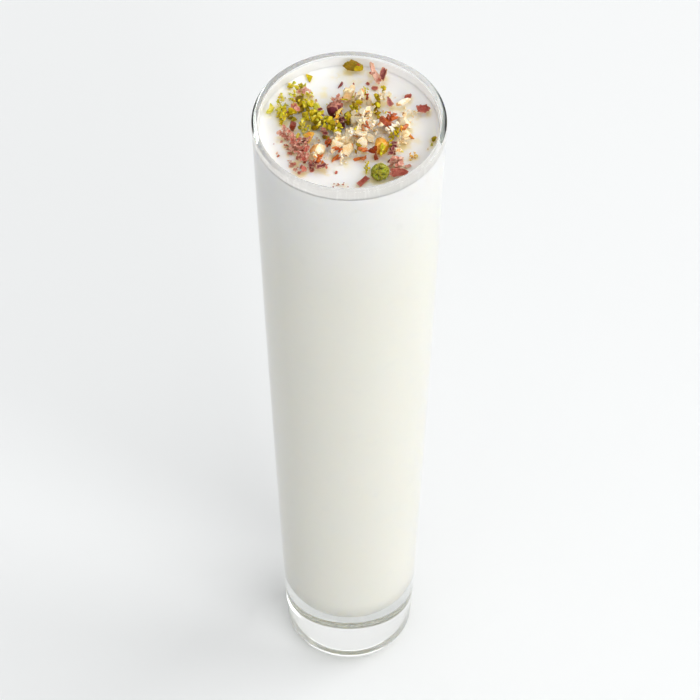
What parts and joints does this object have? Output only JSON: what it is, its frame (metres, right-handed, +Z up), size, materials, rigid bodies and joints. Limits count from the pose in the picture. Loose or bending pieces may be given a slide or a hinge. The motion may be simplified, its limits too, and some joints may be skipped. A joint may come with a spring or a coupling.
{
  "type": "glass of salt lassi",
  "caption": "Tall slim tapered drinking glass filled almost to the rim with a white yoghurt drink, topped with chopped nuts, a dried rose bud and rose petals.",
  "frame": {"origin": "centre of the underside of the glass's foot, on the surface it stands on", "axes": "+Z up along the glass's axis; -Y faces the viewer"},
  "size_m": [0.056, 0.056, 0.245],
  "materials": {
    "glass": "clear, smooth, fire-polished lip",
    "lassi": "thick white yoghurt drink, soft wet gloss",
    "pistachio": "green shelled pistachio, slightly oily",
    "golden_nut": "golden candied nut, slightly glossy",
    "almond": "blanched almond, matt cream",
    "almond_skin": "toasted almond with its brown skin, glossy",
    "hazelnut": "peeled hazelnut, satin cream",
    "rose_petal": "dried rose petal, matt red-brown",
    "rose_bud": "dried rose bud, matt dark purple",
    "nut_mix": "mixed chopped pistachio, almond and petal crumbs"
  },
  "bodies": {
    "root": {"glass": "glass", "lassi": "lassi", "pistachio_kernel": "pistachio", "pistachio_chunk": "pistachio", "golden_chunk": "golden_nut", "golden_bit": "golden_nut", "glossy_almond": "almond_skin", "hazelnut_piece": "hazelnut", "almond_piece": "almond", "rose_bud": "rose_bud", "almond_flake_left": "almond", "almond_flake_middle": "almond", "almond_flake_right": "almond", "almond_flake_top": "almond", "almond_shaving": "almond", "almond_crescent": "almond", "petal_front": "rose_petal", "petal_strip": "rose_petal", "petal_right": "rose_petal", "petal_curl": "rose_petal", "petal_roll": "rose_petal", "petal_point": "rose_petal", "petal_fold": "rose_petal", "nut_heap": "nut_mix", "nut_heap_left": "nut_mix"}
  },
  "joints": []
}
